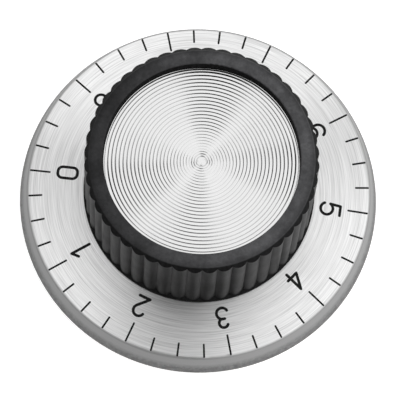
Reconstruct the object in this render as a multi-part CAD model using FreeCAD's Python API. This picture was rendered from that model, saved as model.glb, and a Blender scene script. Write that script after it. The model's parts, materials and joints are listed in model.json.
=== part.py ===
"""Panel-mounted air-spaced variable capacitor with its calibrated tuning knob, in millimetres.

+Z runs along the shaft towards the knob's face.  The origin is on the shaft's axis, on the front
face of the panel bush's shoulder, which is where the back of the panel seats.
"""
import FreeCAD, Part
import math
import os

# ---- driving dimensions -----------------------------------------------------------------------
SHAFT_R = 6.35 / 2
RUNNING_CLEARANCE = 0.03

# stack in front of the panel seat
PANEL_THICKNESS = 3.2
WASHER_THICKNESS = 0.8
WASHER_R = 7.9
WASHER_TEETH = 12
PANEL_NUT_THICKNESS = 2.4
PANEL_NUT_FLATS = 12.7
BUSH_TOP = 7.0
BUSH_THREAD_R = 9.525 / 2
BUSH_THREAD_PITCH = 25.4 / 32
SHOULDER_THICKNESS = 2.4
SHOULDER_FLATS = 15.8
DIAL_FACE = 9.8

# dial plate and its marks: a flat middle, a face that falls outwards, a round shoulder, a flared rim
DIAL_SHEET = 1.2
DIAL_FLAT_R = 22.7
DIAL_FALL_ANGLE = 5.5
DIAL_FACE_R = 33.0
DIAL_RIM_R = 35.0
DIAL_RIM_DEPTH = 6.1
RIM_SHOULDER_R = 0.7
RIM_FLARE_ANGLE = 16.7
RIM_CORNER_R = 32.5
DIAL_HOLE_R = 5.65
ZERO_MARK_ANGLE = 176.3
NUMERAL_STEP = 36.0
TICK_STEP = 9.0
TICKS_PER_NUMERAL = 4
TICK_OUTER_R = 33.25
TICK_SHORT_R = 30.5
TICK_LONG_R = 29.15
TICK_WIDTH = 0.38
NUMERAL_FOOT_R = 23.92
NUMERAL_LAG = 0.5
NUMERAL_STROKE = 0.56
ENGRAVING_DEPTH = 0.14
FILL_BELOW_FACE = 0.03
DIAL_SCREW_CIRCLE_R = 13.8
DIAL_SCREW_R = 1.2
DIAL_SCREW_REACH = 5.6
DIAL_SCREW_ANGLES = (30.0, 150.0, 270.0)
SCREW_HEAD_R = 2.3
DIAL_HEAD_HEIGHT = 1.3
PILLAR_HEAD_HEIGHT = 1.5

# knob, with heights above the dial's flat middle
KNOB_HEIGHT = 22.2
RIB_COUNT = 48
RIB_PEAK_R = 22.25
RIB_VALLEY_R = 21.75
KNOB_TOP_R = 21.3
KNOB_BASE_R = 22.5
KNOB_BASE_HEIGHT = 0.4
KNOB_FLARE_HEIGHT = 1.3
KNOB_FLARE_TOP_R = 21.65
RECESS_R = 18.66
RECESS_EDGE_ROUNDING = 0.3
TOP_CHAMFER = 1.4
INLAY_TOP = 19.9
INLAY_THICKNESS = 1.0
INLAY_R = 18.6
INLAY_DOT_R = 1.0
INLAY_DOT_BEVEL = 0.15
GROOVE_OUTER_PITCH = 0.74
GROOVE_INNER_PITCH = 0.39
GROOVE_PITCH_FALL = 4.8
GROOVE_DEPTH = 0.06
CAVITY_R = 18.2
CAVITY_TOP = 16.4
HUB_R = 9.2
SCREW_BOSS_R = 2.8
TUNNEL_WALL = 1.4
INSERT_R = 5.6
INSERT_TOP = 15.6
SHAFT_TOP = 14.2
GRUB_HEIGHT = 7.0
GRUB_R = 2.0
GRUB_LENGTH = 5.0
GRUB_TUNNEL_R = 2.2
GRUB_ANGLES = (45.0, 135.0)

# capacitor frame behind the panel seat
PLATE_HALF = 17.0
PLATE_THICKNESS = 3.2
PLATE_CORNER_R = 2.6
PLATE_EDGE_R = 0.45
FRONT_PLATE_FRONT = -SHOULDER_THICKNESS
FRONT_PLATE_BACK = FRONT_PLATE_FRONT - PLATE_THICKNESS
REAR_PLATE_FRONT = -29.8
REAR_PLATE_BACK = REAR_PLATE_FRONT - PLATE_THICKNESS
CORNER_OFFSET = 12.6
NECK_R = 6.0
NECK_END = -7.6
CUP_R = 4.9
CUP_START = -4.4
BOLT_R = 1.25
BOLT_THREAD_PITCH = 0.45
RING_NUT_THICKNESS = 1.8
RING_NUT_FLATS = 15.0
NUT_THICKNESS = 1.6
ROD_NUT_FLATS = 5.0
TAG_SHEET = 0.4
TAG_RING_R = 2.7
TAG_ARM_WIDTH = 2.2
TAG_EYE_R = 1.6
TAG_EYE_REACH = 3.6
TERMINAL_HOLE_R = 0.75
PILLAR_R = 2.6
PILLAR_TAPPED_DEPTH = 6.0
PILLAR_SCREW_REACH = 5.0
REAR_BUSH_R = 4.6
REAR_BUSH_LIP = 0.6
REAR_HOLE_OFFSET = 13.4
REAR_HOLE_R = 1.6

# vanes
VANE_THICKNESS = 0.5
VANE_PITCH = 2.5
STATOR_VANES = 8
ROTOR_VANES = STATOR_VANES - 1
FIRST_STATOR_VANE = -8.9
ROTOR_VANE_R = 12.3
ROTOR_HUB_R = 4.4
ROTOR_SPACER_R = 3.6
CLAMP_NUT_FLATS = 8.0
CLAMP_NUT_GAP = 1.5
STATOR_NOTCH_R = 5.2
STATOR_EDGE = 15.2
STATOR_NEAR_EDGE = 0.6
STATOR_SPACER_R = 2.4

# rotor shaft and its bearings
SHAFT_REAR_R = 2.5
COLLAR_R = 4.4
COLLAR_BACK = -8.4
SHAFT_END = -28.8
BALL_R = 1.588 / 2
BALL_CIRCLE_R = 4.05
BALL_COUNT = 10
THRUST_BALL_R = 3.175 / 2
BALL_CLEARANCE = 0.02
CENTRE_CONE_R = 1.5
ADJUSTER_R = 3.0
ADJUSTER_END = -38.0
LOCK_NUT_THICKNESS = 2.4
LOCK_NUT_FLATS = 10.0

# rotor wiper
WIPER_SHEET = 0.3
WIPER_HOLE_Y = -12.2
WIPER_SCREW_R = 1.0
WIPER_NUT_FLATS = 4.0
WIPER_EYE_R = 1.7
WIPER_EYE_HOLE_R = 0.8
WIPER_TAIL_WIDTH = 2.4
WIPER_FORK_HIGH = -9.0
WIPER_BEND_Y = -9.3
WIPER_FOOT_Y = -14.6
WIPER_HALF_WIDTH = 2.6
WIPER_FORK_HALF_WIDTH = 4.8

Z_AXIS = FreeCAD.Vector(0, 0, 1)


# ---- shape helpers ------------------------------------------------------------------------------
def vector(x=0.0, y=0.0, z=0.0):
    return FreeCAD.Vector(x, y, z)


def lathe(start, *steps):
    """Turn a closed outline of (radius, height) corners about Z; a pair of corners is an arc."""
    edges = []
    here = vector(start[0], 0, start[1])
    for step in steps + (start,):
        corners = step if isinstance(step[0], tuple) else (step,)
        there = [vector(radius, 0, height) for radius, height in corners]
        if len(there) == 2:
            edges.append(Part.Arc(here, there[0], there[1]).toShape())
        else:
            edges.append(Part.LineSegment(here, there[0]).toShape())
        here = there[-1]
    return Part.Face(Part.Wire(edges)).revolve(vector(), Z_AXIS, 360)


def rod(radius, low, high, x=0.0, y=0.0):
    return Part.makeCylinder(radius, high - low, vector(x, y, low))


def tube(outer_r, inner_r, low, high, x=0.0, y=0.0):
    return rod(outer_r, low, high, x, y).cut(rod(inner_r, low, high, x, y))


def turned(shape, angle):
    """A copy of the shape, turned about Z."""
    copy = shape.copy()
    copy.rotate(vector(), Z_AXIS, angle)
    return copy


def moved(shape, x=0.0, y=0.0, z=0.0):
    copy = shape.copy()
    copy.translate(vector(x, y, z))
    return copy


def prism(points, low, high):
    """Extrude a closed polygon of (x, y) corners."""
    wire = Part.makePolygon([vector(x, y, low) for x, y in points + points[:1]])
    return Part.Face(wire).extrude(vector(0, 0, high - low))


def rounded_slab(x0, x1, y0, y1, low, high, corner_r):
    """A flat slab whose upright corners are rounded."""
    slab = Part.makeBox(x1 - x0, y1 - y0, high - low, vector(x0, y0, low))
    upright = [edge for edge in slab.Edges if edge.BoundBox.ZLength > (high - low) / 2]
    return slab.makeFillet(corner_r, upright)


def hex_nut(across_flats, bore_r, low, high, x=0.0, y=0.0):
    """A hexagon nut with its corners chamfered at both faces."""
    corner_r = across_flats / math.sqrt(3)
    corners = [(corner_r * math.cos(math.radians(60 * k)), corner_r * math.sin(math.radians(60 * k)))
               for k in range(6)]
    bevel = (corner_r - across_flats / 2) * 0.55
    envelope = lathe((0, low), (across_flats / 2, low), (corner_r, low + bevel),
                     (corner_r, high - bevel), (across_flats / 2, high), (0, high))
    nut = prism(corners, low, high).common(envelope).cut(rod(bore_r, low, high))
    return moved(nut, x, y)


def thread_ridges(major_r, low, high, pitch):
    """Corners of evenly spaced 60 degree ridges along a screw, from the low end to the high end."""
    depth = pitch * 0.54
    count = int((high - low) / pitch)
    start = (low + high - count * pitch) / 2
    corners = []
    for k in range(count):
        foot = start + k * pitch
        corners += [(major_r, foot), (major_r - depth, foot + pitch / 2)]
    return corners + [(major_r, start + count * pitch)]


def group(shapes):
    return Part.makeCompound(list(shapes))


def pan_head(radius, height, seat, direction, slot_width=0.6):
    """A slotted, slightly domed screw head that stands on its seat along +Z or -Z."""
    edge = height * 0.62
    head = lathe((0, 0), (radius, 0), (radius, edge), ((radius * 0.66, height * 0.93), (0, height)))
    slot_depth = height * 0.45
    slot = Part.makeBox(2 * radius + 1, slot_width, slot_depth + 0.01,
                        vector(-radius - 0.5, -slot_width / 2, height - slot_depth))
    head = head.cut(slot)
    if direction < 0:
        head.rotate(vector(), vector(1, 0, 0), 180)
    return moved(head, z=seat)


# ---- dial plate -----------------------------------------------------------------------------------
def bar_stroke(start, end, width, low, high):
    """Solids of one round-ended straight stroke."""
    length = math.dist(start, end)
    bar = Part.makeBox(length, width, high - low, vector(0, -width / 2, low))
    bar.rotate(vector(), Z_AXIS, math.degrees(math.atan2(end[1] - start[1], end[0] - start[0])))
    bar.translate(vector(start[0], start[1], 0))
    return [bar, rod(width / 2, low, high, *start), rod(width / 2, low, high, *end)]


def arc_stroke(centre, radius, first, last, width, low, high):
    """Solids of one round-ended stroke along an arc that runs from the first angle to the last."""
    sweep = min(last - first, 360.0)
    sector = Part.makeCylinder(radius + width / 2, high - low, vector(0, 0, low), Z_AXIS, sweep)
    sector = turned(sector, first).cut(rod(radius - width / 2, low, high))
    ends = [(centre[0] + radius * math.cos(math.radians(a)),
             centre[1] + radius * math.sin(math.radians(a))) for a in (first, last)]
    return [moved(sector, *centre)] + [rod(width / 2, low, high, *end) for end in ends]


# Centre lines of the engraved numerals: x to the right, y up from the foot, 3.84 high.
# A stroke is ("bar", start, end) or ("arc", centre, radius, first angle, last angle).
NUMERALS = {
    0: (("bar", (-1.12, 0.95), (-1.12, 2.89)), ("bar", (1.12, 0.95), (1.12, 2.89)),
        ("bar", (-0.17, 0), (0.17, 0)), ("bar", (-0.17, 3.84), (0.17, 3.84)),
        ("arc", (-0.17, 0.95), 0.95, 180, 270), ("arc", (0.17, 0.95), 0.95, 270, 360),
        ("arc", (0.17, 2.89), 0.95, 0, 90), ("arc", (-0.17, 2.89), 0.95, 90, 180)),
    1: (("bar", (0.42, 0), (0.42, 3.84)), ("bar", (0.42, 3.84), (-0.72, 2.92))),
    2: (("bar", (1.08, 0), (-1.08, 0)), ("bar", (-1.08, 0), (0.82, 2.02)),
        ("arc", (0.02, 2.75), 1.09, -43, 160)),
    3: (("arc", (0, 1.09), 1.09, 205, 440), ("arc", (0, 2.97), 0.87, -75, 155),
        ("bar", (0.2, 2.15), (-0.35, 2.15))),
    4: (("bar", (0.45, 0), (0.45, 3.84)), ("bar", (0.45, 3.84), (-1.15, 1.04)),
        ("bar", (-1.15, 1.04), (1.12, 1.04))),
    5: (("arc", (0, 1.2), 1.2, -154, 148), ("bar", (-1.02, 1.84), (-0.8, 3.84)),
        ("bar", (-0.8, 3.84), (1.05, 3.84))),
    6: (("arc", (0, 1.13), 1.13, 0, 360), ("bar", (-1.13, 1.13), (-1.13, 2.55)),
        ("arc", (0.16, 2.55), 1.29, 25, 180)),
    7: (("bar", (-1.1, 3.84), (1.1, 3.84)), ("bar", (1.1, 3.84), (-0.3, 0))),
    8: (("arc", (0, 1.06), 1.06, 0, 360), ("arc", (0, 2.98), 0.86, 0, 360)),
    9: (("arc", (0, 2.71), 1.13, 0, 360), ("bar", (1.13, 2.71), (1.13, 1.29)),
        ("arc", (-0.16, 1.29), 1.29, 205, 360)),
}


def fused(solids):
    return solids[0].fuse(solids[1:]).removeSplitter()


def numeral(digit, low, high):
    solids = []
    for kind, *shape in NUMERALS[digit]:
        draw = bar_stroke if kind == "bar" else arc_stroke
        solids += draw(*shape, NUMERAL_STROKE, low, high)
    angle = ZERO_MARK_ANGLE + NUMERAL_STEP * digit - NUMERAL_LAG - 90
    return turned(moved(fused(solids), y=NUMERAL_FOOT_R), angle)


def tick(index, low, high):
    inner_r = TICK_LONG_R if index % TICKS_PER_NUMERAL == 0 else TICK_SHORT_R
    half = TICK_WIDTH / 2
    solids = bar_stroke((inner_r + half, 0), (TICK_OUTER_R - half, 0), TICK_WIDTH, low, high)
    return turned(fused(solids), ZERO_MARK_ANGLE + TICK_STEP * index)


def face_height(radius):
    """Height of the dial's face where it falls outwards."""
    return DIAL_FACE - (radius - DIAL_FLAT_R) * math.tan(math.radians(DIAL_FALL_ANGLE))


def face_shell(low, high):
    """The band of the falling face between two heights above it."""
    inner_r, outer_r = DIAL_FLAT_R, DIAL_FACE_R + RIM_SHOULDER_R
    return lathe((inner_r, DIAL_FACE + low), (outer_r, face_height(outer_r) + low),
                 (outer_r, face_height(outer_r) + high), (inner_r, DIAL_FACE + high))


def dial_marks(low, high):
    """The ticks and the numerals as solids that follow the face, between two heights above it."""
    band = face_shell(low, high)
    reach = (DIAL_FACE - DIAL_RIM_DEPTH, DIAL_FACE + high + 1)
    ticks = [tick(index, *reach).common(band) for index in range(int(360 / TICK_STEP))]
    numerals = [numeral(digit, *reach).common(band) for digit in NUMERALS]
    return ticks, numerals


def dial_plate():
    """A spun sheet dish: face, round shoulder, flared rim, engraved pockets for the marks."""
    under = DIAL_FACE - DIAL_SHEET
    rim_end = DIAL_FACE - DIAL_RIM_DEPTH
    fall = math.radians(DIAL_FALL_ANGLE)
    flare = math.radians(90 - RIM_FLARE_ANGLE)
    centre_r = DIAL_FACE_R - RIM_SHOULDER_R * math.sin(fall)
    centre_height = face_height(DIAL_FACE_R) - RIM_SHOULDER_R * math.cos(fall)
    shoulder = [(centre_r + RIM_SHOULDER_R * math.sin(tilt), centre_height + RIM_SHOULDER_R * math.cos(tilt))
                for tilt in ((fall + flare) / 2, flare)]
    corner_height = face_height(RIM_CORNER_R) - DIAL_SHEET / math.cos(fall)
    plate = lathe((DIAL_HOLE_R, under), (DIAL_HOLE_R, DIAL_FACE), (DIAL_FLAT_R, DIAL_FACE),
                  (DIAL_FACE_R, face_height(DIAL_FACE_R)), tuple(shoulder), (DIAL_RIM_R, rim_end),
                  (DIAL_RIM_R - DIAL_SHEET, rim_end), (RIM_CORNER_R, corner_height), (DIAL_FLAT_R, under))
    ticks, numerals = dial_marks(-ENGRAVING_DEPTH, 1)
    screw_holes = [turned(rod(DIAL_SCREW_R, under, DIAL_FACE, DIAL_SCREW_CIRCLE_R), angle)
                   for angle in DIAL_SCREW_ANGLES]
    return plate.cut(ticks + numerals + screw_holes)


def dial_screw(angle):
    """A screw from behind the dial into the knob."""
    seat = DIAL_FACE - DIAL_SHEET
    shank = rod(DIAL_SCREW_R, seat, DIAL_FACE + DIAL_SCREW_REACH)
    screw = shank.fuse(pan_head(SCREW_HEAD_R, DIAL_HEAD_HEIGHT, seat, -1))
    return turned(moved(screw, x=DIAL_SCREW_CIRCLE_R), angle)


# ---- knob -----------------------------------------------------------------------------------------
def ribbed_prism(low, high):
    """A prism whose outline is a ring of outward arcs that meet in sharp valleys."""
    pitch = 2 * math.pi / RIB_COUNT

    def corner(radius, turn):
        return vector(radius * math.cos(turn * pitch), radius * math.sin(turn * pitch), low)

    arcs = [Part.Arc(corner(RIB_VALLEY_R, k - 0.5), corner(RIB_PEAK_R, k),
                     corner(RIB_VALLEY_R, k + 0.5)).toShape() for k in range(RIB_COUNT)]
    return Part.Face(Part.Wire(arcs)).extrude(vector(0, 0, high - low))


def grub_axis_rod(radius, start, end, angle):
    """A round bar along the axis of one grub screw."""
    bar = Part.makeCylinder(radius, end - start, vector(start, 0, DIAL_FACE + GRUB_HEIGHT), vector(1, 0, 0))
    return turned(bar, angle)


def knob_body():
    """The moulding: ribs over a flared foot, a recess for the inlay, a hub and a hollow round it."""
    base = DIAL_FACE
    top = base + KNOB_HEIGHT
    wide = KNOB_TOP_R + TOP_CHAMFER
    envelope = lathe((0, base), (wide, base), (wide, top - TOP_CHAMFER), (KNOB_TOP_R, top), (0, top))
    flare = lathe((0, base), (KNOB_BASE_R, base), (KNOB_BASE_R, base + KNOB_BASE_HEIGHT),
                  (KNOB_FLARE_TOP_R, base + KNOB_FLARE_HEIGHT), (0, base + KNOB_FLARE_HEIGHT))
    body = ribbed_prism(base, top).common(envelope).fuse(flare)

    floor = base + INLAY_TOP - INLAY_THICKNESS
    edge = RECESS_EDGE_ROUNDING
    arc_middle = (RECESS_R + edge * (1 - math.sqrt(0.5)), top - edge * (1 - math.sqrt(0.5)))
    recess = lathe((0, floor), (RECESS_R, floor), (RECESS_R, top - edge),
                   (arc_middle, (RECESS_R + edge, top)), (RECESS_R + edge, top + 1), (0, top + 1))

    cavity = tube(CAVITY_R, HUB_R, base, base + CAVITY_TOP)
    bosses = [turned(rod(SCREW_BOSS_R, base, base + CAVITY_TOP, DIAL_SCREW_CIRCLE_R), angle)
              for angle in DIAL_SCREW_ANGLES]
    walls = [grub_axis_rod(GRUB_TUNNEL_R + TUNNEL_WALL, HUB_R - 1, CAVITY_R + 1, angle)
             for angle in GRUB_ANGLES]
    cavity = cavity.cut(bosses + walls)

    tunnels = [grub_axis_rod(GRUB_TUNNEL_R, 0, RIB_PEAK_R + 1, angle) for angle in GRUB_ANGLES]
    hole_end = base + DIAL_SCREW_REACH + 0.9
    screw_holes = [turned(rod(DIAL_SCREW_R, base, hole_end, DIAL_SCREW_CIRCLE_R), angle)
                   for angle in DIAL_SCREW_ANGLES]
    insert_hole = rod(INSERT_R, base, base + INSERT_TOP)
    return body.cut([recess, cavity, insert_hole] + tunnels + screw_holes)


def groove_radii():
    """Radii of the turned grooves, from the centre dot outwards: they close up towards the centre."""
    radii = [INLAY_DOT_R]
    while radii[-1] < INLAY_R - GROOVE_OUTER_PITCH:
        closing = (GROOVE_OUTER_PITCH - GROOVE_INNER_PITCH) * math.exp(-radii[-1] / GROOVE_PITCH_FALL)
        radii.append(radii[-1] + GROOVE_OUTER_PITCH - closing)
    return radii + [INLAY_R]


def knob_inlay():
    """A turned aluminium disc: crowned rings between sharp grooves, round a flat centre dot."""
    top = DIAL_FACE + INLAY_TOP
    valley = top - GROOVE_DEPTH
    radii = groove_radii()
    rings = [(((inner + outer) / 2, top), (inner, valley))
             for inner, outer in reversed(list(zip(radii, radii[1:])))]
    return lathe((0, top - INLAY_THICKNESS), (INLAY_R, top - INLAY_THICKNESS), (INLAY_R, valley),
                 *rings, (INLAY_DOT_R - INLAY_DOT_BEVEL, top), (0, top))


def knob_insert():
    """The brass sleeve in the knob, with a blind bore and two tapped grub screw holes."""
    foot = DIAL_FACE - DIAL_SHEET
    bore_end = DIAL_FACE + SHAFT_TOP + 0.2
    top = DIAL_FACE + INSERT_TOP
    sleeve = lathe((0, bore_end), (SHAFT_R, bore_end), (SHAFT_R, foot), (INSERT_R, foot), (INSERT_R, top),
                   (0, top))
    return sleeve.cut([grub_axis_rod(GRUB_R, 0, INSERT_R + 1, angle) for angle in GRUB_ANGLES])


def grub_screw(angle):
    """A slotted headless screw that bears on the shaft."""
    screw = grub_axis_rod(GRUB_R, SHAFT_R, SHAFT_R + GRUB_LENGTH, 0)
    slot = Part.makeBox(1.2, 5, 0.7, vector(SHAFT_R + GRUB_LENGTH - 1.0, -2.5,
                                            DIAL_FACE + GRUB_HEIGHT - 0.35))
    return turned(screw.cut(slot), angle)


# ---- panel bush and its fixings -------------------------------------------------------------------
def panel_bush():
    """Threaded bush with a hexagon shoulder, a running bore and a ball cup at its inner end."""
    bore_r = SHAFT_R + RUNNING_CLEARANCE
    ridges = thread_ridges(BUSH_THREAD_R, 0.9, BUSH_TOP - 0.4, BUSH_THREAD_PITCH)
    turning = lathe((bore_r, BUSH_TOP), (bore_r, CUP_START), (CUP_R, CUP_START - (CUP_R - bore_r)),
                    (CUP_R, NECK_END), (NECK_R, NECK_END), (NECK_R, FRONT_PLATE_FRONT),
                    (BUSH_THREAD_R, FRONT_PLATE_FRONT), *ridges, (BUSH_THREAD_R - 0.35, BUSH_TOP))
    return turning.fuse(hex_nut(SHOULDER_FLATS, BUSH_THREAD_R, FRONT_PLATE_FRONT, 0)).removeSplitter()


def panel_washer():
    """A shakeproof washer with teeth round its bore."""
    low = PANEL_THICKNESS
    high = low + WASHER_THICKNESS
    washer = tube(WASHER_R, BUSH_THREAD_R + 0.15, low, high)
    gap = Part.makeBox(1.5, 0.9, WASHER_THICKNESS, vector(BUSH_THREAD_R - 0.2, -0.45, low))
    return washer.cut([turned(gap, 360 / WASHER_TEETH * k) for k in range(WASHER_TEETH)])


# ---- ceramic plates and what ties them --------------------------------------------------------------
def ceramic_plate(low, high, centre_hole_r, small_holes):
    """A square steatite plate with softened edges; small holes are (radius, x, y)."""
    plate = rounded_slab(-PLATE_HALF, PLATE_HALF, -PLATE_HALF, PLATE_HALF, low, high, PLATE_CORNER_R)
    rims = [edge for edge in plate.Edges if edge.BoundBox.ZLength < 0.01]
    plate = plate.makeFillet(PLATE_EDGE_R, rims)
    holes = [rod(radius, low - 1, high + 1, x, y) for radius, x, y in small_holes]
    return plate.cut([rod(centre_hole_r, low - 1, high + 1)] + holes)


def corners(y_sides):
    """The places of the corner rods or pillars, on the sides of the plates that are asked for."""
    return [(x * CORNER_OFFSET, y * CORNER_OFFSET) for y in y_sides for x in (-1, 1)]


def stator_rod(x, y):
    """A rod with threaded ends, through both plates and every stator vane."""
    plain = (BOLT_R, REAR_PLATE_BACK + 0.4), (BOLT_R, FRONT_PLATE_FRONT - 0.4)
    rear_end = REAR_PLATE_BACK - 2.3
    front_end = FRONT_PLATE_FRONT + 2.0
    rear_ridges = thread_ridges(BOLT_R, rear_end + 0.2, REAR_PLATE_BACK, BOLT_THREAD_PITCH)
    front_ridges = thread_ridges(BOLT_R, FRONT_PLATE_FRONT, front_end - 0.2, BOLT_THREAD_PITCH)
    shape = lathe((0, rear_end), (BOLT_R - 0.3, rear_end), *rear_ridges, *plain, *front_ridges,
                  (BOLT_R - 0.3, front_end), (0, front_end))
    return moved(shape, x, y)


def stator_rod_nuts():
    rear_top = REAR_PLATE_BACK - TAG_SHEET
    nuts = []
    for x, y in corners((1,)):
        for low in (FRONT_PLATE_FRONT, rear_top - NUT_THICKNESS):
            nuts.append(hex_nut(ROD_NUT_FLATS, BOLT_R, low, low + NUT_THICKNESS, x, y))
    return group(nuts)


def stator_tag(x, y):
    """A solder tag under a rear nut of the stator; its eye stands clear of the plate."""
    low = REAR_PLATE_BACK - TAG_SHEET
    eye_y = PLATE_HALF + TAG_EYE_REACH
    ring = rod(TAG_RING_R, low, REAR_PLATE_BACK, x, y)
    arm = Part.makeBox(TAG_ARM_WIDTH, eye_y - y, TAG_SHEET, vector(x - TAG_ARM_WIDTH / 2, y, low))
    eye = rod(TAG_EYE_R, low, REAR_PLATE_BACK, x, eye_y)
    holes = [rod(BOLT_R, low, REAR_PLATE_BACK, x, y),
             rod(TERMINAL_HOLE_R, low, REAR_PLATE_BACK, x, eye_y)]
    return ring.fuse([arm, eye]).cut(holes).removeSplitter()


def frame_pillar(x, y):
    """A plain pillar, tapped at both ends, that ties the plates on the open side."""
    pillar = tube(PILLAR_R, BOLT_R, REAR_PLATE_FRONT, FRONT_PLATE_BACK)
    solid_middle = rod(BOLT_R, REAR_PLATE_FRONT + PILLAR_TAPPED_DEPTH,
                       FRONT_PLATE_BACK - PILLAR_TAPPED_DEPTH)
    return moved(pillar.fuse(solid_middle).removeSplitter(), x, y)


def pillar_screws():
    screws = []
    for x, y in corners((-1,)):
        front = rod(BOLT_R, FRONT_PLATE_BACK - PILLAR_SCREW_REACH, FRONT_PLATE_FRONT)
        front = front.fuse(pan_head(SCREW_HEAD_R, PILLAR_HEAD_HEIGHT, FRONT_PLATE_FRONT, 1))
        rear = rod(BOLT_R, REAR_PLATE_BACK, REAR_PLATE_FRONT + PILLAR_SCREW_REACH)
        rear = rear.fuse(pan_head(SCREW_HEAD_R, PILLAR_HEAD_HEIGHT, REAR_PLATE_BACK, -1))
        screws += [moved(turned(front, 25), x, y), moved(turned(rear, -40), x, y)]
    return group(screws)


# ---- vanes ------------------------------------------------------------------------------------------
def stator_vane_z(index):
    return FIRST_STATOR_VANE - VANE_PITCH * index


def rotor_vane_z(index):
    return stator_vane_z(index) - VANE_PITCH / 2


def stator_vane(index):
    """A fixed plate on the +Y side, with a notch round the shaft and two rod holes."""
    low = stator_vane_z(index) - VANE_THICKNESS / 2
    high = low + VANE_THICKNESS
    vane = rounded_slab(-STATOR_EDGE, STATOR_EDGE, STATOR_NEAR_EDGE, STATOR_EDGE, low, high, 1.6)
    holes = [rod(BOLT_R, low, high, x, y) for x, y in corners((1,))]
    return vane.cut([rod(STATOR_NOTCH_R, low, high)] + holes)


def rotor_vane(index):
    """A half disc with a round hub, centred on the dial's zero; the end vanes are slotted."""
    low = rotor_vane_z(index) - VANE_THICKNESS / 2
    high = low + VANE_THICKNESS
    half_disc = turned(Part.makeCylinder(ROTOR_VANE_R, VANE_THICKNESS, vector(0, 0, low), Z_AXIS, 180), -90)
    vane = half_disc.fuse(rod(ROTOR_HUB_R, low, high)).removeSplitter()
    cuts = [rod(SHAFT_REAR_R, low, high)]
    if index in (0, ROTOR_VANES - 1):
        slot = Part.makeBox(ROTOR_VANE_R, 0.5, VANE_THICKNESS, vector(6.6, -0.25, low))
        cuts += [turned(slot, angle) for angle in (-54, -18, 18, 54)]
    return turned(vane.cut(cuts), ZERO_MARK_ANGLE)


def rotor_spacers():
    """Rings on the shaft between its collar, the rotor vanes and the clamp nut."""
    half = VANE_THICKNESS / 2
    faces = [COLLAR_BACK]
    for index in range(ROTOR_VANES):
        faces += [rotor_vane_z(index) + half, rotor_vane_z(index) - half]
    faces.append(rotor_clamp_top())
    return group(tube(ROTOR_SPACER_R, SHAFT_REAR_R, low, high)
                 for high, low in zip(faces[0::2], faces[1::2]))


def rotor_clamp_top():
    return rotor_vane_z(ROTOR_VANES - 1) - VANE_THICKNESS / 2 - CLAMP_NUT_GAP


def stator_spacers():
    """Tubes on the stator rods between the plates and the stator vanes."""
    half = VANE_THICKNESS / 2
    faces = [FRONT_PLATE_BACK]
    for index in range(STATOR_VANES):
        faces += [stator_vane_z(index) + half, stator_vane_z(index) - half]
    faces.append(REAR_PLATE_FRONT)
    return group(tube(STATOR_SPACER_R, BOLT_R, low, high, x, y)
                 for x, y in corners((1,)) for high, low in zip(faces[0::2], faces[1::2]))


# ---- rotor shaft and bearings -----------------------------------------------------------------------
def ball_circle_z():
    """Height of the ball centres: the balls sit in the 45 degree cup, clear by a hair."""
    cup_line = SHAFT_R + RUNNING_CLEARANCE + CUP_START
    return cup_line - math.sqrt(2) * (BALL_R + BALL_CLEARANCE) - BALL_CIRCLE_R


def thrust_ball_z():
    """Height of the rear ball's centre, in the 45 degree centre cone of the shaft's end."""
    return SHAFT_END + CENTRE_CONE_R - math.sqrt(2) * (THRUST_BALL_R + BALL_CLEARANCE)


def rotor_shaft():
    """Spindle with a 45 degree cone for the balls, a collar, and a thinner part for the vanes."""
    cone_line = BALL_CIRCLE_R + ball_circle_z() - math.sqrt(2) * (BALL_R + BALL_CLEARANCE)
    top = DIAL_FACE + SHAFT_TOP
    return lathe((0, SHAFT_END + CENTRE_CONE_R), (CENTRE_CONE_R, SHAFT_END),
                 (SHAFT_REAR_R - 0.3, SHAFT_END), (SHAFT_REAR_R, SHAFT_END + 0.3),
                 (SHAFT_REAR_R, COLLAR_BACK), (COLLAR_R, COLLAR_BACK), (COLLAR_R, cone_line - COLLAR_R),
                 (SHAFT_R, cone_line - SHAFT_R), (SHAFT_R, top - 0.5), (SHAFT_R - 0.5, top), (0, top))


def bearing_balls():
    ball = Part.makeSphere(BALL_R, vector(BALL_CIRCLE_R, 0, ball_circle_z()))
    return group(turned(ball, 360 / BALL_COUNT * k) for k in range(BALL_COUNT))


def rear_bush():
    """Tapped bush swaged into the rear plate."""
    flange_r = 6.2
    flange_top = REAR_PLATE_FRONT + 0.8
    lip_r = 5.4
    lip_end = REAR_PLATE_BACK - REAR_BUSH_LIP
    return lathe((ADJUSTER_R, flange_top), (flange_r, flange_top), (flange_r, REAR_PLATE_FRONT),
                 (REAR_BUSH_R, REAR_PLATE_FRONT), (REAR_BUSH_R, REAR_PLATE_BACK),
                 (lip_r, REAR_PLATE_BACK), (lip_r, lip_end + 0.4), (lip_r - 0.5, lip_end),
                 (ADJUSTER_R, lip_end))


def adjusting_screw():
    """Slotted screw whose coned tip carries the thrust ball."""
    mouth = thrust_ball_z() + CENTRE_CONE_R - math.sqrt(2) * THRUST_BALL_R - 0.01
    ridges = thread_ridges(ADJUSTER_R, ADJUSTER_END + 0.4, REAR_PLATE_BACK - 0.7, 0.75)
    screw = lathe((0, ADJUSTER_END), (ADJUSTER_R - 0.45, ADJUSTER_END), *ridges, (ADJUSTER_R, mouth),
                  (CENTRE_CONE_R, mouth), (0, mouth - CENTRE_CONE_R))
    slot = Part.makeBox(8, 1.0, 1.3, vector(-4, -0.5, ADJUSTER_END))
    return screw.cut(slot)


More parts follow.
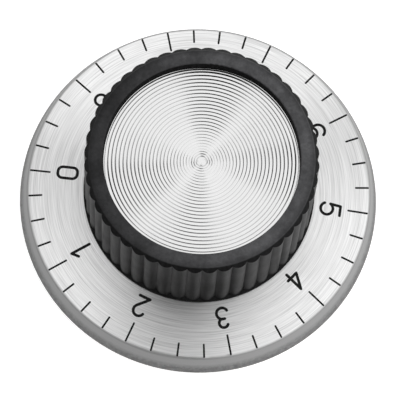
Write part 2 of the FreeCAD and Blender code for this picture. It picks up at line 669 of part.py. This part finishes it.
# ---- rotor wiper ------------------------------------------------------------------------------------
def rotor_wiper():
    """A bent springy strip: a solder tag and foot on the front plate, and a fork on the rotor."""
    foot_low = FRONT_PLATE_BACK - WIPER_SHEET
    fork_low = WIPER_FORK_HIGH - WIPER_SHEET
    leg_y = WIPER_BEND_Y - WIPER_SHEET
    tip_y = -PLATE_HALF - TAG_EYE_REACH
    grip = ROTOR_SPACER_R + BALL_CLEARANCE
    half = WIPER_HALF_WIDTH
    wide = WIPER_FORK_HALF_WIDTH
    foot = Part.makeBox(2 * half, WIPER_BEND_Y - WIPER_FOOT_Y, WIPER_SHEET,
                        vector(-half, WIPER_FOOT_Y, foot_low))
    tail = Part.makeBox(WIPER_TAIL_WIDTH, WIPER_FOOT_Y - tip_y, WIPER_SHEET,
                        vector(-WIPER_TAIL_WIDTH / 2, tip_y, foot_low))
    eye = rod(WIPER_EYE_R, foot_low, FRONT_PLATE_BACK, 0, tip_y)
    leg = Part.makeBox(2 * half, WIPER_SHEET, FRONT_PLATE_BACK - fork_low, vector(-half, leg_y, fork_low))
    fork = prism([(-half, leg_y), (half, leg_y), (wide, -5.2), (wide, 0), (-wide, 0), (-wide, -5.2)],
                 fork_low, WIPER_FORK_HIGH)
    throat = rod(grip, fork_low, WIPER_FORK_HIGH).fuse(
        Part.makeBox(2 * grip, 2, WIPER_SHEET, vector(-grip, 0, fork_low)))
    slit = Part.makeBox(1.0, 4.0, WIPER_SHEET, vector(-0.5, -7.0, fork_low))
    holes = [rod(WIPER_SCREW_R, foot_low, FRONT_PLATE_BACK, 0, WIPER_HOLE_Y),
             rod(WIPER_EYE_HOLE_R, foot_low, FRONT_PLATE_BACK, 0, tip_y), throat, slit]
    return foot.fuse([tail, eye, leg, fork]).cut(holes).removeSplitter()


def wiper_screw():
    shank = rod(WIPER_SCREW_R, FRONT_PLATE_BACK - 2.4, FRONT_PLATE_FRONT)
    screw = shank.fuse(pan_head(1.9, 1.3, FRONT_PLATE_FRONT, 1, 0.5))
    return moved(turned(screw, 70), y=WIPER_HOLE_Y)


# ---- the pieces -------------------------------------------------------------------------------------
def pieces():
    """Every node's name and shape."""
    ticks, numerals = dial_marks(-ENGRAVING_DEPTH, -FILL_BELOW_FACE)
    corner_holes = [(BOLT_R, x, y) for x, y in corners((-1, 1))]
    rear_holes = [(REAR_HOLE_R, side * REAR_HOLE_OFFSET, 0) for side in (-1, 1)]
    nut_low = PANEL_THICKNESS + WASHER_THICKNESS
    clamp_top = rotor_clamp_top()
    lock_top = REAR_PLATE_BACK - REAR_BUSH_LIP
    wiper_nut_top = FRONT_PLATE_BACK - WIPER_SHEET

    shapes = {
        "knob_body": knob_body(),
        "knob_inlay": knob_inlay(),
        "knob_insert": knob_insert(),
        "grub_screws": group(grub_screw(angle) for angle in GRUB_ANGLES),
        "dial_plate": dial_plate(),
        "dial_ticks": group(ticks),
        "dial_numerals": group(numerals),
        "dial_screws": group(dial_screw(angle) for angle in DIAL_SCREW_ANGLES),
        "panel_bush": panel_bush(),
        "panel_washer": panel_washer(),
        "panel_nut": hex_nut(PANEL_NUT_FLATS, BUSH_THREAD_R, nut_low, nut_low + PANEL_NUT_THICKNESS),
        "bush_ring_nut": hex_nut(RING_NUT_FLATS, NECK_R, FRONT_PLATE_BACK - RING_NUT_THICKNESS,
                                 FRONT_PLATE_BACK),
        "front_plate": ceramic_plate(FRONT_PLATE_BACK, FRONT_PLATE_FRONT, NECK_R,
                                     corner_holes + [(WIPER_SCREW_R, 0, WIPER_HOLE_Y)]),
        "rear_plate": ceramic_plate(REAR_PLATE_BACK, REAR_PLATE_FRONT, REAR_BUSH_R,
                                    corner_holes + rear_holes),
        "stator_rods": group(stator_rod(x, y) for x, y in corners((1,))),
        "stator_rod_nuts": stator_rod_nuts(),
        "stator_spacers": stator_spacers(),
        "stator_tags": group(stator_tag(x, y) for x, y in corners((1,))),
        "frame_pillars": group(frame_pillar(x, y) for x, y in corners((-1,))),
        "pillar_screws": pillar_screws(),
        "rotor_shaft": rotor_shaft(),
        "rotor_spacers": rotor_spacers(),
        "rotor_clamp_nut": hex_nut(CLAMP_NUT_FLATS, SHAFT_REAR_R, clamp_top - NUT_THICKNESS, clamp_top),
        "bearing_balls": bearing_balls(),
        "thrust_ball": Part.makeSphere(THRUST_BALL_R, vector(0, 0, thrust_ball_z())),
        "rear_bush": rear_bush(),
        "adjusting_screw": adjusting_screw(),
        "lock_nut": hex_nut(LOCK_NUT_FLATS, ADJUSTER_R, lock_top - LOCK_NUT_THICKNESS, lock_top),
        "rotor_wiper": rotor_wiper(),
        "wiper_screw": wiper_screw(),
        "wiper_nut": hex_nut(WIPER_NUT_FLATS, WIPER_SCREW_R, wiper_nut_top - NUT_THICKNESS, wiper_nut_top,
                             0, WIPER_HOLE_Y),
    }
    for index in range(STATOR_VANES):
        shapes[f"stator_vane_{index + 1:02d}"] = stator_vane(index)
    for index in range(ROTOR_VANES):
        shapes[f"rotor_vane_{index + 1:02d}"] = rotor_vane(index)
    return shapes


os.makedirs("parts", exist_ok=True)
for node, shape in pieces().items():
    shape.exportStep(f"parts/{node}.step")
    print(f"{node:18s} solids {len(shape.Solids):2d}  volume {shape.Volume:9.2f}  valid {shape.isValid()}")
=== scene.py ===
"""Looks of the variable tuning capacitor: a finer turned inlay, the materials, floor, light and camera."""
import json
import math
import bpy
from mathutils import Matrix, Vector


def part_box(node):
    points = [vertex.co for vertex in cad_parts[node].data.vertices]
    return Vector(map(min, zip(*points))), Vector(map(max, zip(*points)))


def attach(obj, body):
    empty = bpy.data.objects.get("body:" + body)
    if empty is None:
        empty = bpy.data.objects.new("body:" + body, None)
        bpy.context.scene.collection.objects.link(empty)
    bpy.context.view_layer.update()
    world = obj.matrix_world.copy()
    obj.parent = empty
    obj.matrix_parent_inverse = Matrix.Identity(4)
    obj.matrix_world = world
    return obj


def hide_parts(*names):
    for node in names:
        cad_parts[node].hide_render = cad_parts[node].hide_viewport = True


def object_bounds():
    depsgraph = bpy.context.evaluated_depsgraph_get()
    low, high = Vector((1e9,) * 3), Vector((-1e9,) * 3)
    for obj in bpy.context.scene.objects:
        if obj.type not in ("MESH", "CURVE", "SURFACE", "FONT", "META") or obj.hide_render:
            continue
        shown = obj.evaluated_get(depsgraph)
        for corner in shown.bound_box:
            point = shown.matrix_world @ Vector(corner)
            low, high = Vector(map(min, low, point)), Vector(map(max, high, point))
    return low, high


MM = 0.001
WHITE = (1.0, 1.0, 1.0, 1.0)

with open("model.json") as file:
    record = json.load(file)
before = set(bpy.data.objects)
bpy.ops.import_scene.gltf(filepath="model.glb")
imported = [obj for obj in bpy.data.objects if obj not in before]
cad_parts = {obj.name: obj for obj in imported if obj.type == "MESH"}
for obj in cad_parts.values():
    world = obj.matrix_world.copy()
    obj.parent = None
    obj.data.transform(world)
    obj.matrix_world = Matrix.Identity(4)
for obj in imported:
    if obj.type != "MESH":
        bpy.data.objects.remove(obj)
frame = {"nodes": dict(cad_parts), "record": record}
cad_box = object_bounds()

# the dial: its flat middle, its shoulder, the level of the marks on its falling face, the rim's end
DIAL_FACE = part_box("dial_plate")[1].z
DIAL_RIM_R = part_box("dial_plate")[1].x
DIAL_FACE_R = DIAL_RIM_R - 2.0 * MM
MARKS_PLANE = DIAL_FACE - 0.886 * MM
RIM_END = DIAL_FACE - 6.1 * MM
KNOB_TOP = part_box("knob_body")[1].z
INLAY_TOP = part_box("knob_inlay")[1].z
INLAY_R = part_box("knob_inlay")[1].x
OBJECT_FOOT = cad_box[0].z

# the inlay's turned rings, from the centre dot outwards; the ones beside the dot are cut deeper
INLAY_DOT_R = 1.0 * MM
DOT_FLAT_SHARE = 0.82
GROOVE_OUTER_PITCH = 0.74 * MM
GROOVE_INNER_PITCH = 0.39 * MM
GROOVE_PITCH_FALL = 4.8 * MM
DEEP_RINGS_REACH = 1.5 * MM
INLAY_EDGE_DROP = 0.03 * MM
INLAY_SEGMENTS = 256
# one ring as a round-nosed tool leaves it: share of its pitch, and depth in mm at the widest pitch
RING_OUTLINE = ((0.0, 0.058), (0.06, 0.043), (0.16, 0.0235), (0.26, 0.0095), (0.38, 0.0015), (0.50, 0.0),
                (0.66, 0.003), (0.80, 0.011), (0.95, 0.026))

# the camera looks down at the marks, roughly along +Y
CAMERA_DISTANCE = 0.664
CAMERA_ELEVATION = math.radians(73.96)
CAMERA_AZIMUTH = math.radians(-1.55)
CAMERA_ROLL = math.radians(5.30)
CAMERA_LENS = 306.4
CAMERA_SHIFT = (0.0028, -0.0209)
CAMERA_CLIP = (0.05, 20.0)

# the light: the dome's bright side, where it fades, its dimmest and brightest level
DOME_AXIS = (0.55, 0.30, 0.78)
DOME_EDGE = (-0.40, 0.75)
DOME_LEVELS = (0.50, 1.24)
# dark things in the room: where they stand, the cosines where they end and where they are full, their depth;
# the first three are the dark figure behind the camera, the next two the gaps beside the light overhead,
# the last the low wall behind the object
DARK_SPOTS = (((-0.04, -0.18, 0.98), 0.970, 0.992, 1.0), ((-0.05, -0.52, 0.85), 0.962, 0.992, 1.0),
              ((-0.05, -0.80, 0.60), 0.950, 0.990, 1.0), ((0.40, 0.46, 0.79), 0.978, 0.994, 1.0),
              ((-0.45, 0.30, 0.84), 0.976, 0.994, 1.0),
              ((0.05, 0.99, 0.10), 0.88, 0.985, 0.85))

# the floor, and its own glow, which rises from the -X side to the +X side of the object
FLOOR_HALF = 4.0
FLOOR_GLOW = (0.32, 0.65)
FLOOR_GLOW_REACH = 0.12


# ---- node graphs --------------------------------------------------------------------------------
class Graph:
    """A node tree, built by calls; a value is a number, a colour or another node's output."""

    def __init__(self, tree):
        self.tree = tree

    def node(self, kind, inputs=None, **settings):
        made = self.tree.nodes.new(kind)
        for name, value in settings.items():
            setattr(made, name, value)
        for name, value in (inputs or {}).items():
            self.feed(made, name, value)
        return made

    def feed(self, node, name, value):
        socket = node.inputs[name]
        if isinstance(value, bpy.types.NodeSocket):
            self.tree.links.new(value, socket)
        else:
            socket.default_value = value

    def math(self, operation, first, second):
        return self.node("ShaderNodeMath", {0: first, 1: second}, operation=operation).outputs[0]

    def join(self, x, y, z):
        return self.node("ShaderNodeCombineXYZ", {0: x, 1: y, 2: z}).outputs[0]

    def facing(self, direction, axis):
        """The cosine between a direction and an axis."""
        return self.node("ShaderNodeVectorMath", {0: direction, 1: axis},
                         operation="DOT_PRODUCT").outputs["Value"]

    def span(self, value, low, high, from_low=0.0, from_high=1.0, **settings):
        """The value, carried from one range to another and kept inside it."""
        return self.node("ShaderNodeMapRange", {"Value": value, "From Min": from_low, "From Max": from_high,
                                                "To Min": low, "To Max": high}, **settings).outputs[0]


class Material(Graph):
    """A material's node tree, with one principled shader."""

    def __init__(self, name):
        self.material = bpy.data.materials.new(name)
        self.material.use_nodes = True
        super().__init__(self.material.node_tree)
        self.tree.nodes.clear()
        self.shader = self.node("ShaderNodeBsdfPrincipled")
        output = self.node("ShaderNodeOutputMaterial")
        self.tree.links.new(self.shader.outputs[0], output.inputs["Surface"])

    def surface(self, **inputs):
        for name, value in inputs.items():
            self.feed(self.shader, name.replace("_", " "), value)

    def place(self):
        return self.node("ShaderNodeTexCoord").outputs["Object"]

    def split(self, vector):
        return self.node("ShaderNodeSeparateXYZ", {0: vector}).outputs

    def neutral(self, tone):
        return self.join(tone, tone, tone)

    def radius(self):
        x, y, _ = self.split(self.place())
        flat = self.join(x, y, 0.0)
        return self.node("ShaderNodeVectorMath", {0: flat}, operation="LENGTH").outputs["Value"]

    def ring_space(self, across, round_the_axis):
        """A space in which noise becomes streaks that run round the Z axis, without a seam."""
        x, y, z = self.split(self.place())
        radius = self.radius()
        return self.join(self.math("MULTIPLY", self.math("ADD", radius, z), across),
                         self.math("MULTIPLY", self.math("DIVIDE", x, radius), round_the_axis),
                         self.math("MULTIPLY", self.math("DIVIDE", y, radius), round_the_axis))

    def noise(self, vector, scale, detail=3.0, roughness=0.55):
        return self.node("ShaderNodeTexNoise", {"Vector": vector, "Scale": scale, "Detail": detail,
                                                "Roughness": roughness}).outputs["Fac"]

    def mix(self, factor, first, second):
        """A blend of two plain values."""
        return self.node("ShaderNodeMix", {0: factor, 2: first, 3: second}, data_type="FLOAT").outputs[0]

    def blend(self, factor, first, second):
        """A blend of two colours."""
        return self.node("ShaderNodeMix", {0: factor, 6: first, 7: second}, data_type="RGBA").outputs[2]

    def bump(self, height, distance, strength):
        return self.node("ShaderNodeBump", {"Height": height, "Distance": distance,
                                            "Strength": strength}).outputs[0]

    def brushed_round(self, amount):
        """Stretch the shine as brushing or turning round the Z axis does."""
        tangent = self.node("ShaderNodeTangent", direction_type="RADIAL", axis="Z").outputs[0]
        self.surface(Anisotropic=amount, Anisotropic_Rotation=0.25, Tangent=tangent)


# ---- materials ----------------------------------------------------------------------------------
def dial_aluminium():
    """Sheet brushed in circles on its face; the rim is duller, and painted darker as shade, more so towards
    its foot, where it is also mottled with dirt.
    """
    g = Material("dial_aluminium")
    fine = g.noise(g.ring_space(9000.0, 2.0), 1.0, 4.0, 0.6)
    arcs = g.noise(g.ring_space(5600.0, 2.2), 1.0, 2.0, 0.7)
    broad = g.noise(g.ring_space(1400.0, 1.2), 1.0, 3.0)
    cloud = g.noise(g.place(), 90.0, 3.0)
    rim = g.span(g.radius(), 0.0, 1.0, DIAL_FACE_R + 0.05 * MM, DIAL_FACE_R + 0.45 * MM)
    face_tone = g.math("MULTIPLY", g.span(broad, 0.80, 0.90, 0.3, 0.7), g.span(arcs, 0.76, 1.08, 0.3, 0.62))
    face_tone = g.math("MULTIPLY", face_tone, g.span(cloud, 0.94, 1.03))
    height = g.split(g.place())[2]
    # painted shade: the rim gets a much darker colour than the face, darker still towards its foot, standing
    # in for the dim reflection it shows; the mottle mixed in towards the foot is dirt
    rim_foot_shade_and_dirt_mask = g.span(height, 1.0, 0.0, RIM_END + 1.2 * MM, RIM_END + 3.0 * MM)
    mottle = g.span(g.noise(g.place(), 1100.0, 5.0, 0.75), 0.70, 1.22, 0.35, 0.65)
    rim_painted_shade_and_dirt = g.math("MULTIPLY", g.span(rim_foot_shade_and_dirt_mask, 0.31, 0.19), g.mix(rim_foot_shade_and_dirt_mask, 1.0, mottle))
    g.surface(Base_Color=g.neutral(g.mix(rim, face_tone, rim_painted_shade_and_dirt)), Metallic=1.0,
              Roughness=g.mix(rim, g.span(broad, 0.30, 0.42), 0.5), Normal=g.bump(fine, 0.012 * MM, 0.5))
    g.brushed_round(0.75)
    return g.material


def inlay_aluminium():
    """Bright turned aluminium with tool marks finer than the rings, and darker towards the bottoms of the
    grooves.
    """
    g = Material("inlay_aluminium")
    fine = g.noise(g.ring_space(14000.0, 1.5), 1.0, 3.0)
    # the colour darkens towards the bottoms of the grooves
    darker_down_grooves = g.span(g.split(g.place())[2], 0.68, 1.0, INLAY_TOP - 0.045 * MM, INLAY_TOP - 0.012 * MM)
    tone = g.math("MULTIPLY", g.span(fine, 0.63, 0.72, 0.3, 0.7), darker_down_grooves)
    g.surface(Base_Color=g.neutral(tone), Metallic=1.0, Roughness=g.span(fine, 0.08, 0.13),
              Normal=g.bump(fine, 0.004 * MM, 0.3))
    g.brushed_round(0.5)
    return g.material


def knob_plastic():
    """Matt black moulding, faintly streaked down its sides.

    The crown of its top ring is rubbed lighter in patches; it is also painted lighter towards the +X side, a
    painted highlight where light falls from that side. Its recess is duller.
    """
    g = Material("knob_plastic")
    skin = g.noise(g.place(), 5200.0, 3.0, 0.6)
    wear = g.noise(g.place(), 160.0, 4.0, 0.6)
    scuffs = g.span(g.noise(g.place(), 1300.0, 4.0, 0.7), 0.82, 1.15, 0.35, 0.65)
    x, y, height = g.split(g.place())
    top = g.span(height, 0.0, 1.0, KNOB_TOP - 0.25 * MM, KNOB_TOP - 0.05 * MM)
    crown = g.span(g.radius(), 1.0, 0.62, INLAY_R + 1.7 * MM, INLAY_R + 2.6 * MM)
    recess = g.span(g.radius(), 1.0, 0.0, INLAY_R + 0.1 * MM, INLAY_R + 0.3 * MM)
    # painted highlight: the crown lightens towards +X as light from that side would light it; the patchy
    # factor it is multiplied by below is wear
    wear_and_painted_light = g.math("MULTIPLY", g.math("MULTIPLY", top, crown), g.span(x, 0.028, 0.080, -18 * MM, 4 * MM))
    patchy = g.math("MULTIPLY", g.span(wear, 0.62, 1.22, 0.35, 0.65), scuffs)
    upright = g.join(g.math("MULTIPLY", x, 1500.0), g.math("MULTIPLY", y, 1500.0),
                     g.math("MULTIPLY", height, 160.0))
    streaks = g.span(g.noise(upright, 1.0, 4.0, 0.65), 0.001, 0.0085, 0.42, 0.72)
    tone = g.math("ADD", streaks, g.math("MULTIPLY", wear_and_painted_light, patchy))
    g.surface(Base_Color=g.join(tone, tone, g.math("MULTIPLY", tone, 1.04)),
              Roughness=g.math("ADD", g.span(wear, 0.40, 0.48, 0.3, 0.7), g.math("MULTIPLY", recess, 0.4)),
              IOR=1.45, Specular_IOR_Level=0.12, Normal=g.bump(skin, 0.010 * MM, 0.35))
    return g.material


def marking_fill():
    """Black paint wiped into the engraving."""
    g = Material("marking_fill")
    grain = g.noise(g.place(), 4000.0, 3.0)
    g.surface(Base_Color=g.neutral(g.span(grain, 0.003, 0.008)), Roughness=g.span(grain, 0.5, 0.7),
              Specular_IOR_Level=0.2, Normal=g.bump(grain, 0.01 * MM, 0.4))
    return g.material


def tarnished(g, colour, tarnish, cloud):
    """The metal's colour, dulled where the cloud lies."""
    dull = tuple(part * tarnish for part in colour) + (1.0,)
    return g.blend(g.span(cloud, 0.0, 1.0, 0.35, 0.7), colour + (1.0,), dull)


def turned_metal(name, colour, roughness, tarnish):
    """A machined metal: fine lathe lines round the axis, and a faint uneven tarnish."""
    g = Material(name)
    lines = g.noise(g.ring_space(7000.0, 1.5), 1.0, 3.0)
    cloud = g.noise(g.place(), 260.0, 4.0, 0.6)
    g.surface(Base_Color=tarnished(g, colour, tarnish, cloud), Metallic=1.0,
              Roughness=g.math("ADD", g.span(lines, roughness * 0.8, roughness * 1.2),
                               g.span(cloud, 0.0, 0.08, 0.35, 0.7)),
              Normal=g.bump(lines, 0.006 * MM, 0.3))
    g.brushed_round(0.5)
    return g.material


def plated_metal(name, colour, roughness, tarnish):
    """A plated or rolled metal without lathe lines: soft grain, smudges and small pits."""
    g = Material(name)
    grain = g.noise(g.place(), 3500.0, 4.0, 0.65)
    cloud = g.noise(g.place(), 300.0, 4.0, 0.6)
    g.surface(Base_Color=tarnished(g, colour, tarnish, cloud), Metallic=1.0,
              Roughness=g.math("ADD", g.span(grain, roughness * 0.75, roughness * 1.25),
                               g.span(cloud, 0.0, 0.1, 0.35, 0.7)),
              Normal=g.bump(grain, 0.003 * MM, 0.3))
    return g.material


def vane_aluminium():
    """Stamped sheet, rolled one way, with a faint oxide bloom."""
    g = Material("vane_aluminium")
    x, y, z = g.split(g.place())
    rolled = g.noise(g.join(g.math("MULTIPLY", x, 300.0), g.math("MULTIPLY", y, 7000.0), z), 1.0, 3.0)
    cloud = g.noise(g.place(), 220.0, 4.0)
    tone = g.math("MULTIPLY", g.span(rolled, 0.56, 0.72), g.span(cloud, 0.82, 1.04, 0.3, 0.7))
    g.surface(Base_Color=g.join(tone, tone, g.math("MULTIPLY", tone, 1.01)), Metallic=1.0,
              Roughness=g.math("ADD", g.span(rolled, 0.26, 0.36), g.span(cloud, 0.0, 0.08, 0.3, 0.7)),
              Normal=g.bump(rolled, 0.005 * MM, 0.4))
    return g.material


def steatite():
    """Glazed cream ceramic with faint specks under the glaze."""
    g = Material("steatite")
    cloud = g.noise(g.place(), 130.0, 3.0)
    specks = g.span(g.noise(g.place(), 2600.0, 2.0), 0.0, 1.0, 0.66, 0.74)
    body = g.blend(g.span(cloud, 0.0, 1.0, 0.35, 0.65), (0.56, 0.52, 0.43, 1.0), (0.63, 0.59, 0.51, 1.0))
    g.surface(Base_Color=g.blend(specks, body, (0.34, 0.29, 0.22, 1.0)),
              Roughness=g.span(cloud, 0.16, 0.26), IOR=1.55, Coat_Weight=0.4, Coat_Roughness=0.08,
              Normal=g.bump(g.noise(g.place(), 500.0, 2.0), 0.03 * MM, 0.3))
    return g.material


MATERIALS = {
    "knob_plastic": knob_plastic(),
    "inlay_aluminium": inlay_aluminium(),
    "dial_aluminium": dial_aluminium(),
    "marking_fill": marking_fill(),
    "brass": turned_metal("brass", (0.66, 0.46, 0.20), 0.24, 0.72),
    "nickel_brass": plated_metal("nickel_brass", (0.57, 0.55, 0.51), 0.26, 0.90),
    "aluminium": turned_metal("aluminium", (0.60, 0.61, 0.62), 0.30, 0.9),
    "vane_aluminium": vane_aluminium(),
    "steel": turned_metal("steel", (0.62, 0.62, 0.63), 0.22, 0.85),
    "blued_steel": plated_metal("blued_steel", (0.08, 0.08, 0.095), 0.34, 0.6),
    "bearing_steel": plated_metal("bearing_steel", (0.76, 0.76, 0.78), 0.08, 0.94),
    "steatite": steatite(),
    "tinned_copper": plated_metal("tinned_copper", (0.62, 0.61, 0.58), 0.34, 0.82),
    "spring_bronze": plated_metal("spring_bronze", (0.74, 0.46, 0.27), 0.26, 0.72),
}


def dress(piece, slot):
    """Give a piece its slot's material."""
    piece.data.materials.clear()
    piece.data.materials.append(MATERIALS[slot])


for subpart in frame["record"]["subparts"]:
    dress(frame["nodes"][subpart["node"]], subpart["material_slot"])


# ---- the turned inlay ---------------------------------------------------------------------------
def groove_radii(outer_r):
    """Radii of the turned grooves, closing up towards the centre dot."""
    radii = [INLAY_DOT_R]
    while radii[-1] < outer_r - GROOVE_OUTER_PITCH:
        closing = (GROOVE_OUTER_PITCH - GROOVE_INNER_PITCH) * math.exp(-radii[-1] / GROOVE_PITCH_FALL)
        radii.append(radii[-1] + GROOVE_OUTER_PITCH - closing)
    return radii + [outer_r]


def ring_profile(inner, outer, top):
    """One ring's points: shallower as the pitch closes up, but deep again beside the dot."""
    pitch = outer - inner
    near_dot = max(0.0, 1.0 - (inner - INLAY_DOT_R) / DEEP_RINGS_REACH)
    scale = near_dot + (1.0 - near_dot) * (pitch / GROOVE_OUTER_PITCH) ** 3
    return [(inner + share * pitch, top - depth * scale * MM) for share, depth in RING_OUTLINE]


def lathe_mesh(name, profile, segments):
    """A closed mesh turned about Z from a profile that starts and ends on the axis."""
    vertices = [(0.0, 0.0, profile[0][1])]
    for radius, height in profile[1:-1]:
        for k in range(segments):
            angle = 2 * math.pi * k / segments
            vertices.append((radius * math.cos(angle), radius * math.sin(angle), height))
    vertices.append((0.0, 0.0, profile[-1][1]))
    rows = len(profile) - 2
    faces = []
    for k in range(segments):
        after = (k + 1) % segments
        faces.append((0, 1 + after, 1 + k))
        for row in range(rows - 1):
            low, high = 1 + row * segments, 1 + (row + 1) * segments
            faces.append((low + k, low + after, high + after, high + k))
        last = 1 + (rows - 1) * segments
        faces.append((last + k, last + after, len(vertices) - 1))
    mesh = bpy.data.meshes.new(name)
    mesh.from_pydata(vertices, [], faces)
    mesh.shade_smooth()
    piece = bpy.data.objects.new(name, mesh)
    bpy.context.scene.collection.objects.link(piece)
    return piece


def turned_inlay():
    """The aluminium disc with its rings, bottom first."""
    low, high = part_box("knob_inlay")
    outer_r, top = high.x, high.z
    radii = groove_radii(outer_r)
    face = [(INLAY_DOT_R * DOT_FLAT_SHARE, top), (0.0, top)]
    for inner, outer in zip(radii, radii[1:]):
        face = ring_profile(inner, outer, top)[::-1] + face
    profile = [(0.0, low.z), (outer_r, low.z), (outer_r, top - INLAY_EDGE_DROP)] + face
    inlay = lathe_mesh("turned_inlay", profile, INLAY_SEGMENTS)
    inlay.data.set_sharp_from_angle(angle=math.radians(50))
    dress(inlay, "inlay_aluminium")
    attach(inlay, "rotor")
    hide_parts("knob_inlay")


turned_inlay()


# ---- floor, light and camera --------------------------------------------------------------------
def floor():
    """A plain pale floor under the object."""
    corners = [(side_x * FLOOR_HALF, side_y * FLOOR_HALF, OBJECT_FOOT)
               for side_x, side_y in ((-1, -1), (1, -1), (1, 1), (-1, 1))]
    mesh = bpy.data.meshes.new("floor")
    mesh.from_pydata(corners, [], [(0, 1, 2, 3)])
    plane = bpy.data.objects.new("floor", mesh)
    bpy.context.scene.collection.objects.link(plane)
    g = Material("floor_paint")
    tone = g.span(g.noise(g.place(), 40.0, 2.0), 0.90, 0.92)
    glow = g.span(g.split(g.place())[0], *FLOOR_GLOW, -FLOOR_GLOW_REACH, FLOOR_GLOW_REACH)
    g.surface(Base_Color=g.neutral(tone), Roughness=0.8, Emission_Color=WHITE, Emission_Strength=glow)
    mesh.materials.append(g.material)


def room_light():
    """A smooth dome, bright overhead and to the right, dimmed where dark things stand in the room."""
    world = bpy.data.worlds.new("room")
    world.use_nodes = True
    g = Graph(world.node_tree)
    direction = g.node("ShaderNodeTexCoord").outputs["Generated"]
    strength = g.span(g.facing(direction, DOME_AXIS), *DOME_LEVELS, *DOME_EDGE,
                      interpolation_type="SMOOTHSTEP")
    for place, edge, full, depth in DARK_SPOTS:
        near = g.facing(direction, Vector(place).normalized())
        fade = g.span(near, 1.0, 1.0 - depth, edge, full, interpolation_type="SMOOTHSTEP")
        strength = g.math("MULTIPLY", strength, fade)
    background = g.tree.nodes["Background"]
    g.feed(background, "Color", WHITE)
    g.feed(background, "Strength", strength)
    bpy.context.scene.world = world


def camera():
    """A long lens over the near side of the dial, level with the horizon but for a small roll."""
    lens = bpy.data.cameras.new("camera")
    lens.lens = CAMERA_LENS
    lens.shift_x, lens.shift_y = CAMERA_SHIFT
    lens.clip_start, lens.clip_end = CAMERA_CLIP
    holder = bpy.data.objects.new("camera", lens)
    bpy.context.scene.collection.objects.link(holder)
    level_right = Vector((math.cos(CAMERA_AZIMUTH), math.sin(CAMERA_AZIMUTH), 0))
    level_back = Vector((math.sin(CAMERA_AZIMUTH), -math.cos(CAMERA_AZIMUTH), 0))
    back = level_back * math.cos(CAMERA_ELEVATION) + Vector((0, 0, math.sin(CAMERA_ELEVATION)))
    level_up = back.cross(level_right)
    right = level_right * math.cos(CAMERA_ROLL) + level_up * math.sin(CAMERA_ROLL)
    up = back.cross(right)
    turn = Matrix((right, up, back)).transposed()
    spot = Vector((0, 0, MARKS_PLANE)) + back * CAMERA_DISTANCE
    holder.matrix_world = Matrix.Translation(spot) @ turn.to_4x4()
    bpy.context.scene.camera = holder


floor()
room_light()
camera()
bpy.context.scene.view_settings.view_transform = "Standard"
